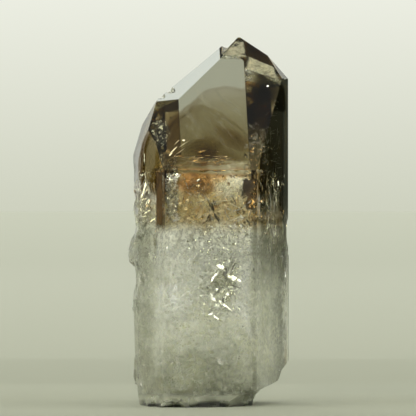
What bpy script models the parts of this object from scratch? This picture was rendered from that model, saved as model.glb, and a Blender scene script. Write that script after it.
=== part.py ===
"""A hand-sized quartz point, amethyst above and milky below, standing on its cut base.

The crystal is one solid. It is modelled about its own c axis, in millimetres, with the
cut at height 0, and is then centred over the origin in metres, +Z up, front towards -Y.
"""

import bmesh
import bpy
import numpy as np
from math import cos, radians, sin
from mathutils import Matrix, Vector, noise

MM = 0.001

# How the crystal stands: the big front face looks slightly to the right.
YAW = 12.0

# Prism faces: degrees round the c axis from the front face, and distance from the axis.
PRISM = {
    "front": (0.0, 18.2),
    "front right": (60.0, 15.4),
    "back right": (120.0, 19.1),
    "back": (180.0, 19.0),
    "back left": (240.0, 14.4),
    "front left": (300.0, 20.5),
}
# The front face ends at its left in a narrow step, down to the front left face.
STEP = (280.0, 18.2)
PRISM_BOTTOM = -4.0
PRISM_TOP = 100.0

# Faces of the point: degrees round the axis, rise of the outward direction over the
# horizontal, and the height at which each meets the axis.
POINT = {
    "front rhomb": (0.0, 38.2, 79.1),
    "front right rhomb": (60.0, 38.2, 97.8),
    "back right rhomb": (120.0, 38.2, 102.6),
    "back rhomb": (180.0, 38.2, 103.1),
    "back left rhomb": (240.0, 38.2, 85.3),
    "left corner": (-90.0, 24.4, 104.0),
    "right corner": (30.0, 24.4, 99.6),
    "tip": (180.0, 66.0, 91.5),
}

# The last part of the back left face lies lower, behind a small wall.
TIP_STEP_FACE = (240.0, 30.0, 82.2)
TIP_STEP_WALL = (2.3, 4.0, 85.0)
TIP_STEP_WALL_OUT = (-1.0, 0.25, -0.15)
TIP_STEP_DEPTH = 10.0

# The left edge: its direction and distance, then its height and how far it is worn in.
LEFT_EDGE = (270.0, 20.2)
LEFT_EDGE_WEAR = (
    (-1.0, 3.0), (3.2, 2.1), (6.0, 1.9), (11.0, 1.1), (17.3, 0.85), (25.2, 0.45),
    (29.1, 1.15), (31.8, 1.0), (34.9, 0.25), (39.4, 0.3), (42.4, 1.05), (44.2, 0.8),
    (46.8, 0.15), (52.3, 0.3), (56.2, 0.4), (59.7, -0.2),
)

WEAR_HALF_WIDTH = 16.0
WEAR_DEPTH = 9.0

# The broken lower right corner, from its top on the right edge to the base, as x and
# height: where it leaves the front of the crystal, and where it leaves the back.
BREAK_FRONT = (
    (19.9, 12.6), (18.3, 9.6), (17.1, 7.0), (16.2, 5.6),
    (11.6, 4.0), (6.5, 3.2), (2.9, 1.7), (0.4, -1.0),
)
BREAK_BACK = (
    (19.9, 12.0), (18.5, 9.9), (16.9, 7.2), (16.0, 5.8),
    (12.4, 4.3), (10.9, 3.0), (10.2, 1.4), (9.5, -1.0),
)
BREAK_DEPTHS = (-26.0, -20.5, -17.5, -13.0, -8.0, -2.0, 4.0, 10.0, 17.0, 26.0)
BREAK_BACK_FROM = -8.0
BREAK_WAVE = 0.5
BREAK_GRAIN = 0.87
BREAK_FAR_RIGHT = 30.0

# Lumps on the left: prism face, place along it from its middle, height, how deep the
# middle lies, then half sizes across, in and up.
LUMPS = (
    ("front left", -4.4, 37.2, 3.2, (4.6, 2.8, 5.2)),
    ("front left", 1.4, 22.5, 1.9, (3.2, 1.9, 9.0)),
    ("front left", -3.6, 25.0, 4.2, (4.6, 3.4, 7.5)),
    ("front left", -3.0, 9.0, 4.3, (5.0, 3.3, 7.0)),
    ("back left", 4.6, 33.0, 3.2, (5.4, 3.2, 10.5)),
    ("back left", -2.0, 14.0, 2.9, (6.6, 3.1, 10.0)),
)

# Chips on an edge between two faces: height, then half sizes across, in and up.
CHIPS = (
    ("front rhomb", "back left rhomb", 75.3, (1.8, 1.4, 1.0)),
    ("front rhomb", "back left rhomb", 73.7, (1.0, 1.1, 0.8)),
    ("front right", "back right", 41.0, (1.4, 1.7, 3.2)),
    ("back", "back left", -0.6, (5.2, 3.6, 3.6)),
    ("back left", "front left", 49.5, (1.5, 1.2, 1.9)),
    ("front", "front left", -1.2, (4.2, 3.1, 3.0)),
    ("back", "back right", 28.0, (1.6, 1.2, 4.2)),
)

# Growth plates on a prism face: which face in the ring, bottom, top, left and right ends
# along the face from its middle, and rise. No two bottoms are level.
PLATES = (
    ("back", -3.1, 51.0, -30.0, 3.2, 0.36),
    ("back", -2.9, 29.0, -1.4, 30.0, 0.62),
    ("back right", -2.7, 60.0, -2.2, 30.0, 0.34),
    ("back right", -2.5, 37.0, -30.0, 1.1, 0.66),
    ("back left", -2.3, 57.0, -30.0, 0.8, 0.32),
    ("back left", -2.1, 26.0, -2.5, 30.0, 0.6),
    ("front right", -1.9, 23.0, -30.0, -0.5, 0.26),
)
PLATE_SLOPE = 35.0
PLATE_LEAN = 0.12
PLATE_SPREAD = 0.11
PLATE_DEPTH = 1.5
PLATE_INSET = 0.07

# Lumps and chips aren't quite round.
PEBBLE_ROUGHNESS = 0.24
PEBBLE_GRAIN = 1.6
# Points of the finished solid closer than this are one, in metres.
SAME_POINT = 2e-6


def outward(azimuth, rise=0.0):
    """The outward direction of a face, azimuth degrees round from the front."""
    turn = radians(azimuth + YAW)
    tilt = radians(rise)
    return Vector((sin(turn) * cos(tilt), -cos(turn) * cos(tilt), sin(tilt)))


def plane(name):
    """A face as its outward direction and its distance from the origin."""
    if name in PRISM:
        azimuth, distance = PRISM[name]
        return outward(azimuth), distance
    azimuth, rise, height = POINT[name]
    out = outward(azimuth, rise)
    return out, out.z * height


def edge_point(first, second, height):
    """Where the edge between two faces passes a height."""
    a, b = plane(first), plane(second)
    normals = [a[0], b[0], (0.0, 0.0, 1.0)]
    return Vector(np.linalg.solve(normals, [a[1], b[1], height]))


def prism_corner(first, second):
    """Where two faces of the prism meet, in plan, each given as azimuth and distance."""
    a, b = outward(first[0]), outward(second[0])
    x, y = np.linalg.solve([a[:2], b[:2]], [first[1], second[1]])
    return Vector((x, y, PRISM_BOTTOM))


def cleave(bm, point, normal):
    """Cuts off what lies beyond a plane, and closes the cut."""
    everything = bm.verts[:] + bm.edges[:] + bm.faces[:]
    cut = bmesh.ops.bisect_plane(
        bm, geom=everything, dist=1e-6, plane_co=point, plane_no=normal, clear_outer=True
    )
    rim = [item for item in cut["geom_cut"] if isinstance(item, bmesh.types.BMEdge)]
    bmesh.ops.contextual_create(bm, geom=rim)


def new_object(name, bm, material=None):
    """A mesh object in metres, with its faces turned outward."""
    bmesh.ops.scale(bm, vec=(MM, MM, MM), verts=bm.verts)
    bmesh.ops.recalc_face_normals(bm, faces=bm.faces)
    mesh = bpy.data.meshes.new(name)
    bm.to_mesh(mesh)
    bm.free()
    if material:
        mesh.materials.append(material)
    made = bpy.data.objects.new(name, mesh)
    bpy.context.scene.collection.objects.link(made)
    return made


def block_between(planes):
    """A tall block with everything outside the planes cleaved off."""
    bm = bmesh.new()
    bmesh.ops.create_cube(bm, size=4 * PRISM_TOP)
    for point, normal in planes:
        cleave(bm, point, normal)
    return bm


def prism():
    """The six prism faces and the step, closed above by the faces of the point."""
    ring = (*PRISM.values(), STEP)
    bm = bmesh.new()
    corners = [bm.verts.new(prism_corner(face, ring[i - 1])) for i, face in enumerate(ring)]
    base = bm.faces.new(corners)
    walls = bmesh.ops.extrude_face_region(bm, geom=[base])["geom"]
    top = [item for item in walls if isinstance(item, bmesh.types.BMVert)]
    bmesh.ops.translate(bm, vec=(0, 0, PRISM_TOP - PRISM_BOTTOM), verts=top)
    bmesh.ops.recalc_face_normals(bm, faces=bm.faces)
    for azimuth, rise, height in POINT.values():
        cleave(bm, Vector((0, 0, height)), outward(azimuth, rise))
    return bm


def tip_step():
    """What is missing beside the tip: beyond the lower face, right of the wall."""
    azimuth, rise, height = TIP_STEP_FACE
    return block_between((
        (Vector((0, 0, height)), -outward(azimuth, rise)),
        (Vector(TIP_STEP_WALL), Vector(TIP_STEP_WALL_OUT).normalized()),
        (Vector((0, 0, height - TIP_STEP_DEPTH)), Vector((0, 0, -1))),
    ))


def left_edge_wear():
    """A strip whose inner side follows the worn left edge."""
    azimuth, reach = LEFT_EDGE
    across = outward(azimuth)
    along = across.cross(Vector((0, 0, 1)))
    bm = bmesh.new()
    bottom, top = LEFT_EDGE_WEAR[0][0], LEFT_EDGE_WEAR[-1][0]
    outline = [across * (reach - wear) + Vector((0, 0, z)) for z, wear in LEFT_EDGE_WEAR]
    outline += [across * (reach + WEAR_DEPTH) + Vector((0, 0, z)) for z in (top, bottom)]
    side = bm.faces.new([bm.verts.new(point - along * WEAR_HALF_WIDTH) for point in outline])
    moved = bmesh.ops.extrude_face_region(bm, geom=[side])["geom"]
    far = [item for item in moved if isinstance(item, bmesh.types.BMVert)]
    bmesh.ops.translate(bm, vec=along * 2 * WEAR_HALF_WIDTH, verts=far)
    bmesh.ops.triangulate(bm, faces=bm.faces)
    return bm


def broken_corner():
    """The rough fracture that took off the lower right corner, front to back."""
    bm = bmesh.new()
    rows = []
    for row, y in enumerate(BREAK_DEPTHS):
        share = min(1.0, (y - BREAK_DEPTHS[0]) / (BREAK_BACK_FROM - BREAK_DEPTHS[0])) ** 2
        line = []
        for i, (near, far) in enumerate(zip(BREAK_FRONT, BREAK_BACK)):
            x, z = (a + (b - a) * share for a, b in zip(near, far))
            wave = BREAK_WAVE * noise.noise(Vector((row, i, 0)) * BREAK_GRAIN)
            inner = 0 < i < len(BREAK_FRONT) - 1
            line.append((x + wave, y, z - wave if inner else z))
        line.append((BREAK_FAR_RIGHT, y, line[-1][2]))
        line.append((BREAK_FAR_RIGHT, y, line[0][2]))
        rows.append([bm.verts.new(point) for point in line])
    count = len(rows[0])
    for near, far in zip(rows, rows[1:]):
        for i in range(count):
            j = (i + 1) % count
            bm.faces.new((near[i], near[j], far[j], far[i]))
    bm.faces.new(rows[0])
    bm.faces.new(reversed(rows[-1]))
    bmesh.ops.triangulate(bm, faces=bm.faces)
    return bm


def pebble(centre, out, half_sizes, subdivisions):
    """A rounded, uneven lump with flat facets: half sizes across, along out, and up."""
    bm = bmesh.new()
    bmesh.ops.create_icosphere(bm, subdivisions=subdivisions, radius=1.0)
    for vert in bm.verts:
        vert.co *= 1.0 + PEBBLE_ROUGHNESS * noise.noise(vert.co * PEBBLE_GRAIN + centre)
    turn = Matrix.Rotation(np.arctan2(-out.x, out.y), 4, "Z")
    place = Matrix.Translation(centre) @ turn @ Matrix.Diagonal((*half_sizes, 1.0))
    bmesh.ops.transform(bm, matrix=place, verts=bm.verts)
    return bm


def lump(name, along, height, depth, half_sizes):
    azimuth, distance = PRISM[name]
    out = outward(azimuth)
    centre = out * (distance - depth) + outward(azimuth + 90.0) * along
    return pebble(centre + Vector((0, 0, height)), out, half_sizes, 3)


def chip(first, second, height, half_sizes):
    out = plane(first)[0] + plane(second)[0]
    return pebble(edge_point(first, second, height), out, half_sizes, 2)


def growth_plate(name, bottom, top, left, right, rise):
    """A thin plate on a prism face, up to a sloping ledge and wider below."""
    faces = list(PRISM.values())
    place = list(PRISM).index(name)
    azimuth, distance = faces[place]
    out = outward(azimuth)
    along = outward(azimuth + 90.0)
    slope = radians(PLATE_SLOPE)
    up = Vector((0, 0, 1))
    lean = along * (PLATE_LEAN if left + right > 0 else -PLATE_LEAN)
    spread = up * PLATE_SPREAD
    surface = out * distance
    planes = [
        (out * (distance + rise), out),
        (out * (distance - PLATE_DEPTH), -out),
        (surface + up * top, (out * sin(slope) + up * cos(slope) + lean).normalized()),
        (surface + up * bottom, -up),
        (surface + along * left, (out * sin(slope) - along * cos(slope) + spread).normalized()),
        (surface + along * right, (out * sin(slope) + along * cos(slope) + spread).normalized()),
    ]
    for azimuth, distance in (faces[place - 1], faces[(place + 1) % len(faces)]):
        inset = PLATE_INSET + rise / 9
        planes.append((outward(azimuth) * (distance - inset), outward(azimuth)))
    return block_between(planes)


def ground():
    """Everything below the flat cut."""
    return block_between(((Vector((0, 0, 0)), Vector((0, 0, 1))),))


def add_boolean(solid, tool, operation):
    """Fuses a tool to the solid, or cuts with it."""
    tool.hide_render = True
    tool.display_type = "WIRE"
    modifier = solid.modifiers.new(tool.name, "BOOLEAN")
    modifier.object = tool
    modifier.operation = operation


def drop_crumbs(bm):
    """Keeps the largest connected piece: a cut may leave a crumb beside it."""
    unseen = set(bm.faces)
    pieces = []
    while unseen:
        piece, waiting = [], [unseen.pop()]
        while waiting:
            face = waiting.pop()
            piece.append(face)
            for edge in face.edges:
                beside = [near for near in edge.link_faces if near in unseen]
                unseen.difference_update(beside)
                waiting.extend(beside)
        pieces.append(piece)
    pieces.sort(key=len)
    crumbs = [face for piece in pieces[:-1] for face in piece]
    bmesh.ops.delete(bm, geom=crumbs, context="FACES")


def settle(solid):
    """Makes the Booleans real, drops the tools, and centres the solid over the origin."""
    bpy.context.view_layer.update()
    evaluated = solid.evaluated_get(bpy.context.evaluated_depsgraph_get())
    bm = bmesh.new()
    bm.from_mesh(evaluated.to_mesh())
    solid.modifiers.clear()
    for tool in [item for item in bpy.data.objects if item.hide_render]:
        bpy.data.objects.remove(tool)
    bmesh.ops.triangulate(bm, faces=bm.faces)
    bmesh.ops.dissolve_degenerate(bm, dist=SAME_POINT, edges=bm.edges)
    bmesh.ops.remove_doubles(bm, verts=bm.verts, dist=SAME_POINT)
    bmesh.ops.triangulate(bm, faces=bm.faces)
    drop_crumbs(bm)
    points = np.array([vert.co for vert in bm.verts])
    low, high = points.min(axis=0), points.max(axis=0)
    middle = (low + high) / 2
    bmesh.ops.translate(bm, vec=(-middle[0], -middle[1], -low[2]), verts=bm.verts)
    bm.to_mesh(solid.data)
    bm.free()


def quartz_material():
    """Clear, slightly smoky amethyst."""
    material = bpy.data.materials.new("quartz")
    material.use_nodes = True
    shader = material.node_tree.nodes["Principled BSDF"]
    shader.inputs["Base Color"].default_value = (0.72, 0.70, 0.60, 1.0)
    shader.inputs["Roughness"].default_value = 0.06
    shader.inputs["Metallic"].default_value = 0.0
    shader.inputs["IOR"].default_value = 1.544
    shader.inputs["Transmission Weight"].default_value = 0.9
    return material


def main():
    for item in list(bpy.data.objects):
        bpy.data.objects.remove(item)
    crystal = new_object("amethyst_point", prism(), quartz_material())
    for plate in PLATES:
        add_boolean(crystal, new_object("plate", growth_plate(*plate)), "UNION")
    add_boolean(crystal, new_object("edge_wear", left_edge_wear()), "DIFFERENCE")
    for values in LUMPS:
        add_boolean(crystal, new_object("lump", lump(*values)), "UNION")
    add_boolean(crystal, new_object("tip_step", tip_step()), "DIFFERENCE")
    for values in CHIPS:
        add_boolean(crystal, new_object("chip", chip(*values)), "DIFFERENCE")
    add_boolean(crystal, new_object("break", broken_corner()), "DIFFERENCE")
    add_boolean(crystal, new_object("ground", ground()), "DIFFERENCE")
    settle(crystal)


main()
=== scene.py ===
import bmesh
import bpy
import numpy as np
from math import pi, radians
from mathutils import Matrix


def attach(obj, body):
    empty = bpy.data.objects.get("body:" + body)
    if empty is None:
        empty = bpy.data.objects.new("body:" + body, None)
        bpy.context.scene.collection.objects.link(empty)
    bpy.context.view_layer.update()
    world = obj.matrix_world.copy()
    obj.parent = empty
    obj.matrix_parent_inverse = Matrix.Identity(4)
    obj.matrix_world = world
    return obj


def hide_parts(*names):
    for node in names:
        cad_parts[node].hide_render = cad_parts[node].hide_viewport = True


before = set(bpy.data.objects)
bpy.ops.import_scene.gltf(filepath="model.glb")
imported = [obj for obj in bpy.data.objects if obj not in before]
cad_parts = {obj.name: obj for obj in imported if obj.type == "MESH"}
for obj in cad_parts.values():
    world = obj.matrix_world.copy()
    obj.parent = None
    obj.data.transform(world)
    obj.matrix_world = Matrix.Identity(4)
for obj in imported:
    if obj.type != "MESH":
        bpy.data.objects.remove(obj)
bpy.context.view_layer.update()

scene = bpy.context.scene
mm = 0.001


class Wire:
    # one output socket of a node tree; + - * / ** on it add Math nodes, also with a number first
    def __init__(self, tree, socket=None):
        self.tree = tree
        self.socket = socket

    def node(self, kind, settings=None, inputs=None, output=0):
        # any node: its settings first, then the values or wires of its sockets
        new = self.tree.nodes.new(kind)
        for name, value in (settings or {}).items():
            if name == "stops":
                ramp = new.color_ramp
                while len(ramp.elements) < len(value):
                    ramp.elements.new(1.0)
                for element, (place, colour) in zip(ramp.elements, value):
                    element.position = place
                    element.color = colour
            else:
                setattr(new, name, value)
        for name, value in (inputs or {}).items():
            if isinstance(value, Wire):
                self.tree.links.new(value.socket, new.inputs[name])
            else:
                new.inputs[name].default_value = value
        return Wire(self.tree, new.outputs[output])

    def maths(self, operation, first, second=0.0, clamp=False):
        settings = {"operation": operation, "use_clamp": clamp}
        return self.node("ShaderNodeMath", settings, {0: first, 1: second})

    def __add__(self, other):
        return self.maths("ADD", self, other)

    def __radd__(self, other):
        return self.maths("ADD", other, self)

    def __sub__(self, other):
        return self.maths("SUBTRACT", self, other)

    def __rsub__(self, other):
        return self.maths("SUBTRACT", other, self)

    def __mul__(self, other):
        return self.maths("MULTIPLY", self, other)

    def __rmul__(self, other):
        return self.maths("MULTIPLY", other, self)

    def __truediv__(self, other):
        return self.maths("DIVIDE", self, other)

    def __pow__(self, other):
        return self.maths("POWER", self, other)

    def most(self, first, *others):
        # the largest of several values
        for other in others:
            first = self.maths("MAXIMUM", first, other)
        return first

    def least(self, first, *others):
        # the smallest of several values
        for other in others:
            first = self.maths("MINIMUM", first, other)
        return first

    def clamped(self):
        return self.maths("ADD", self, 0.0, True)

    def rise(self, low, high):
        # 0 below low, 1 above high, a smooth step between; high may be the lower number
        inputs = {"Value": self, "From Min": low, "From Max": high}
        return self.node("ShaderNodeMapRange", {"interpolation_type": "SMOOTHSTEP"}, inputs)

    def mix(self, first, second):
        # from one colour to the other by this value
        settings = {"data_type": "RGBA", "clamp_factor": True}
        return self.node("ShaderNodeMix", settings, {0: self, 6: first, 7: second}, 2)

    def noise(self, place, size, detail=3.0, roughness=0.55, distortion=0.0):
        # smooth noise with lumps of about the size given in metres, mean 0.5
        inputs = {"Vector": place, "Scale": 1 / size, "Detail": detail, "Roughness": roughness,
                  "Distortion": distortion}
        return self.node("ShaderNodeTexNoise", {}, inputs)

    def parts(self, vector):
        # the x, y and z of a vector
        first = self.node("ShaderNodeSeparateXYZ", {}, {0: vector})
        outputs = first.socket.node.outputs
        return [Wire(self.tree, outputs[i]) for i in range(3)]

    def place(self):
        return self.node("ShaderNodeTexCoord", {}, {}, "Object")

    def stretched(self, place, scale, turn=(0.0, 0.0, 0.0)):
        return self.node("ShaderNodeMapping", {}, {"Vector": place, "Scale": scale, "Rotation": turn})


def colourOf(red, green, blue, alpha=1.0):
    # a display colour, 0 to 255, as the linear value that a shader takes
    share = np.array([red, green, blue]) / 255
    linear = np.where(share < 0.04045, share / 12.92, ((share + 0.055) / 1.055) ** 2.4)
    return (*[float(x) for x in linear], alpha)


def grey(value):
    # a grey a little on the olive side, like the room's
    return (0.985 * value, value, 0.90 * value, 1.0)


def olive(value):
    # the dull green of the dark blinds
    return (0.92 * value, value, 0.66 * value, 1.0)


def newMaterial(name, **values):
    # a Principled material with its plain values set, its shader node and a wire to build on
    material = bpy.data.materials.new(name)
    material.use_nodes = True
    shader = material.node_tree.nodes["Principled BSDF"]
    for key, value in values.items():
        shader.inputs[key.replace("_", " ")].default_value = value
    return material, shader, Wire(material.node_tree)


def join(wire, shader, name):
    wire.tree.links.new(wire.socket, shader.inputs[name])


def absorption(material, wire, colour, density):
    # even absorption inside a closed piece: per metre, exp(-density (1 - colour)) of the light is left
    inside = wire.node("ShaderNodeVolumeAbsorption", {}, {"Color": colour, "Density": density})
    join(inside, material.node_tree.nodes["Material Output"], "Volume")


def newObject(name, vertices, faces, material, smooth=True):
    # a mesh object at the origin, from points in metres and faces by their point numbers
    mesh = bpy.data.meshes.new(name)
    mesh.from_pydata(np.asarray(vertices).tolist(), [], np.asarray(faces).tolist())
    mesh.materials.append(material)
    mesh.polygons.foreach_set("use_smooth", np.full(len(mesh.polygons), smooth))
    piece = bpy.data.objects.new(name, mesh)
    scene.collection.objects.link(piece)
    return piece


def writeUv(mesh, across, up):
    # the UV of each face corner, from two values held for each point
    uv = mesh.uv_layers.new(name="UVMap")
    corner = np.empty(len(mesh.loops), dtype=np.int64)
    mesh.loops.foreach_get("vertex_index", corner)
    uv.data.foreach_set("uv", np.stack([across.ravel()[corner], up.ravel()[corner]], -1).ravel())


def directions(rows, columns):
    # unit directions: rows of rise from straight down to straight up, columns of azimuth from the front
    lift = np.linspace(-pi / 2, pi / 2, rows)[:, None]
    turn = np.linspace(0, 2 * pi, columns, endpoint=False)[None, :]
    return np.stack([np.cos(lift) * np.sin(turn), -np.cos(lift) * np.cos(turn),
                     np.sin(lift) + 0 * turn], -1)


def quartzPiece(piece, skinGap=None):
    # a piece of the crystal; with a gap in mm, each point outside the skin or nearer to it than the gap
    # moves to the nearest place that far inside
    if skinGap is not None:
        fit = piece.modifiers.new("keptInside", "SHRINKWRAP")
        fit.target = crystal
        fit.wrap_method = "NEAREST_SURFACEPOINT"
        fit.wrap_mode = "INSIDE"
        fit.offset = skinGap * mm
        fitted = piece.evaluated_get(bpy.context.evaluated_depsgraph_get()).data
        places = np.empty(len(fitted.vertices) * 3)
        fitted.vertices.foreach_get("co", places)
        piece.modifiers.clear()
        piece.data.vertices.foreach_set("co", places)
        piece.data.update()
    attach(piece, "root")
    return piece


# the camera is level and far off, at half the crystal's height
cameraPlace = {
    "distance": 1109.3 * mm,
    "across": -0.26 * mm,
    "height": 47.04 * mm,
    "lens": 400.0,
}
camera = bpy.data.objects.new("camera", bpy.data.cameras.new("camera"))
scene.collection.objects.link(camera)
camera.location = (cameraPlace["across"], -cameraPlace["distance"], cameraPlace["height"])
camera.rotation_euler = (radians(90), 0, 0)
camera.data.lens = cameraPlace["lens"]
camera.data.clip_start = 0.01
camera.data.clip_end = 100
scene.camera = camera

scene.view_settings.view_transform = "Standard"
scene.cycles.max_bounces = 40
scene.cycles.transmission_bounces = 40
scene.cycles.transparent_max_bounces = 60
scene.cycles.glossy_bounces = 16
scene.cycles.diffuse_bounces = 4
scene.cycles.blur_glossy = 0.2
scene.cycles.sample_clamp_indirect = 6.0

# studio: a pale paper under and behind, the floor painted darker near the crystal and paler far off, and a
# ring of soft light and shade that only glass sees
studio = {
    "horizon": (206, 209, 191),
    "top": (236, 238, 226),
    "topAt": 0.046,               # rise of the view at which the paper is at its palest
    # painted shade near and painted light far: the floor's colour runs from darker by the crystal to paler
    # far off
    "floorNear": (172, 174, 158),
    "floorFar": (212, 214, 203),
    "floorLight": 0.93,
    "dim": 0.14,                  # the dark sides of the room
    "overhead": 0.30,
    "ringRadius": 3.0,
    # azimuth, half width, rise, half height, strength
    "softBoxes": [(-118, 30, 0.58, 0.26, 7.0), (112, 26, 0.55, 0.24, 5.9), (-75, 8, 0.35, 0.2, 2.0),
                  (10, 40, 0.75, 0.12, 1.2), (45, 6.5, 0.0, 0.2, 0.50)],
    "blinds": [(-46, 9, 0.0, 0.22, 0.030), (35.3, 3, 0.0, 0.2, 0.012),
               (-134, 14, -0.1, 0.2, 0.02), (-88, 14, 0.0, 0.3, 0.05)],
}

world = bpy.data.worlds.new("studio")
scene.world = world
world.use_nodes = True
w = Wire(world.node_tree)
heading = w.node("ShaderNodeTexCoord", {}, {}, "Generated")
skyUp = w.parts(heading)[2]
paper = (skyUp / studio["topAt"]).clamped().mix(colourOf(*studio["horizon"]), colourOf(*studio["top"]))
join(paper, world.node_tree.nodes["Background"], "Color")


def stagePiece(name, vertices, faces, material, seenBy):
    # a floor, card or ring of light; seenBy names the kinds of ray that meet it
    piece = newObject(name, vertices, faces, material)
    for kind in ("camera", "diffuse", "glossy", "transmission", "volume_scatter", "shadow"):
        setattr(piece, "visible_" + kind, kind in seenBy)
    return piece


floorMaterial, shader, w = newMaterial("floorPaper", Roughness=0.9)
shader.inputs["Specular IOR Level"].default_value = 0.1
reach = w.node("ShaderNodeVectorMath", {"operation": "LENGTH"}, {0: w.place()}, "Value")
# painted light: the floor's colour goes from darker near the crystal to paler far off, in place of light
# falling off
floorPaintedLight = reach / (reach + cameraPlace["distance"])
light = studio["floorLight"]
near = tuple(x / light for x in colourOf(*studio["floorNear"])[:3]) + (1.0,)
far = tuple(x / light for x in colourOf(*studio["floorFar"])[:3]) + (1.0,)
join(floorPaintedLight.mix(near, far), shader, "Base Color")
floorHalf = 60.0
floorCorners = [(-floorHalf, -floorHalf, 0), (floorHalf, -floorHalf, 0), (floorHalf, floorHalf, 0),
                (-floorHalf, floorHalf, 0)]
floor = newObject("floor", floorCorners, [(0, 1, 2, 3)], floorMaterial)


def emitter(name, strength=1.0):
    material = bpy.data.materials.new(name)
    material.use_nodes = True
    tree = material.node_tree
    tree.nodes.remove(tree.nodes["Principled BSDF"])
    w = Wire(tree)
    light = w.node("ShaderNodeEmission", {}, {"Strength": strength})
    join(light, tree.nodes["Material Output"], "Surface")
    return material, light.socket.node, w


# the ring: bright paper behind between two azimuths, dim sides and front, soft boxes above
ringMaterial, ringLight, w = emitter("ringLight")
x, y, z = w.parts(w.node("ShaderNodeVectorMath", {"operation": "NORMALIZE"}, {0: w.place()}))
azimuth = w.maths("ARCTAN2", x, y) * (180 / pi)
backPaper = (z / studio["topAt"]).clamped().mix(colourOf(*studio["horizon"]), colourOf(*studio["top"]))
behind = azimuth.rise(-42, -36) * azimuth.rise(35, 29)
room = behind.mix(grey(studio["dim"]), backPaper)
room = z.rise(0.45, 0.75).mix(room, grey(studio["overhead"]))


def softBox(colour, azimuthAt, azimuthHalf, riseAt, riseHalf, glow):
    # adds a soft-edged window or blind to the room's colour
    turn = w.maths("ABSOLUTE", azimuth - azimuthAt)
    lift = w.maths("ABSOLUTE", z - riseAt)
    mask = turn.rise(azimuthHalf * 1.25, azimuthHalf * 0.8) * lift.rise(riseHalf * 1.25, riseHalf * 0.8)
    return mask.mix(colour, glow)


for box in studio["softBoxes"]:
    room = softBox(room, *box[:4], grey(box[4]))
for box in studio["blinds"]:
    room = softBox(room, *box[:4], olive(box[4]))
join(room, ringLight, "Color")
turns, lifts = 64, 33
turn = np.linspace(0, 2 * pi, turns, endpoint=False)[None, :]
lift = np.linspace(-pi / 2, pi / 2, lifts)[:, None]
ring = studio["ringRadius"] * np.stack([np.cos(lift) * np.sin(turn), np.cos(lift) * np.cos(turn),
                                        np.sin(lift) + 0 * turn], -1)


def gridFaces(rows, columns, closed):
    # the quads of a grid of points, its columns joined round to the first where it is closed
    index = np.arange(rows * columns).reshape(rows, columns)
    here, after = (index, np.roll(index, -1, 1)) if closed else (index[:, :-1], index[:, 1:])
    return np.stack([here[:-1], after[:-1], after[1:], here[1:]], -1).reshape(-1, 4)


stagePiece("ringOfLight", ring.reshape(-1, 3), gridFaces(lifts, turns, True), ringMaterial,
           ("glossy", "transmission"))

# cards on the floor that only glass sees: x from, x to, y from, y to, height in mm, and their colour
cards = {
    "cardRight": (100, 134, -130, 60, 1.4, (160, 152, 118)),
    "cardFarSide": (134, 420, -260, 60, 1.2, (58, 52, 38)),
    "cardFront": (-300, 420, -420, -60, 1.0, (36, 33, 24)),
    "cardLeft": (-420, -60, -260, 100, 1.2, (140, 132, 100)),
    "cardPale": (24, 75, 70, 120, 1.2, (224, 230, 220)),
    "cardBehind": (-90, 90, 128, 330, 1.0, (164, 166, 144)),
}
for name, (x0, x1, y0, y1, height, colour) in cards.items():
    material, light, w = emitter(name)
    light.inputs["Color"].default_value = colourOf(*colour)
    corners = np.array([(x0, y0, height), (x1, y0, height), (x1, y1, height), (x0, y1, height)]) * mm
    stagePiece(name, corners, [(0, 1, 2, 3)], material, ("glossy", "transmission"))

# far dark paper to both sides behind, fading out towards the object, for the outer faces
material, light, w = emitter("cardFar")
reach = w.node("ShaderNodeVectorMath", {"operation": "LENGTH"}, {0: w.place()}, "Value")
join(reach.rise(1.1, 2.7).mix(colourOf(172, 176, 152), colourOf(34, 36, 28)), light, "Color")
for name, away in (("cardFarLeft", (-48, -34)), ("cardFarRight", (34, 52))):
    turn = np.radians(np.array(away))
    near, far = 0.7, 2.9
    rim = np.array([(near, turn[0]), (far, turn[0]), (far, turn[1]), (near, turn[1])])
    out, bearing = rim.T
    corners = np.stack([out * np.sin(bearing), out * np.cos(bearing), 0 * out + mm], -1)
    stagePiece(name, corners, [(0, 1, 2, 3)], material, ("glossy", "transmission"))
print("studio done")


# the crystal's faces about its long axis: azimuth from the front, rise, and the distance out for an
# upright face or the height at which a sloping face meets the axis, in mm
axisAt = np.array([0.381, -0.124, 0.0])
yaw = 12.0
prismFaces = [(0, 18.2), (60, 15.4), (120, 19.1), (180, 19.0), (240, 14.4), (300, 20.5)]
pointFaces = [(0, 79.1), (60, 97.8), (120, 102.6), (180, 103.1), (240, 85.3)]
rhombRise = 38.2


def halfSpaces(prismInset, pointInset, lowest, highest=None, point=None, cuts=()):
    # outward directions and distances of the crystal's faces moved in by two insets, with a flat floor
    # at the lowest height and, where given, a flat roof at the highest, the tip's own heights and more
    # cuts, each a compass direction, a rise and a distance
    rows = [(azimuth, 0.0, distance - prismInset) for azimuth, distance in prismFaces]
    steep = np.sin(np.radians(rhombRise))
    heights = point or [height for azimuth, height in pointFaces]
    rows += [(face[0], rhombRise, steep * height - pointInset)
             for face, height in zip(pointFaces, heights)]
    azimuth, rise, distance = np.array(rows).T
    turn = np.radians(azimuth + yaw)
    tilt = np.radians(rise)
    out = np.stack([np.sin(turn) * np.cos(tilt), -np.cos(turn) * np.cos(tilt), np.sin(tilt)], -1)
    out = np.vstack([out, [0, 0, -1]])
    distance = np.append(distance, -lowest)
    for compass, rise, far in cuts:
        way, up = radians(compass), radians(rise)
        out = np.vstack([out, [np.sin(way) * np.cos(up), -np.cos(way) * np.cos(up), np.sin(up)]])
        distance = np.append(distance, far)
    if highest is not None:
        out = np.vstack([out, [0, 0, 1]])
        distance = np.append(distance, highest)
    return out, distance


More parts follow.
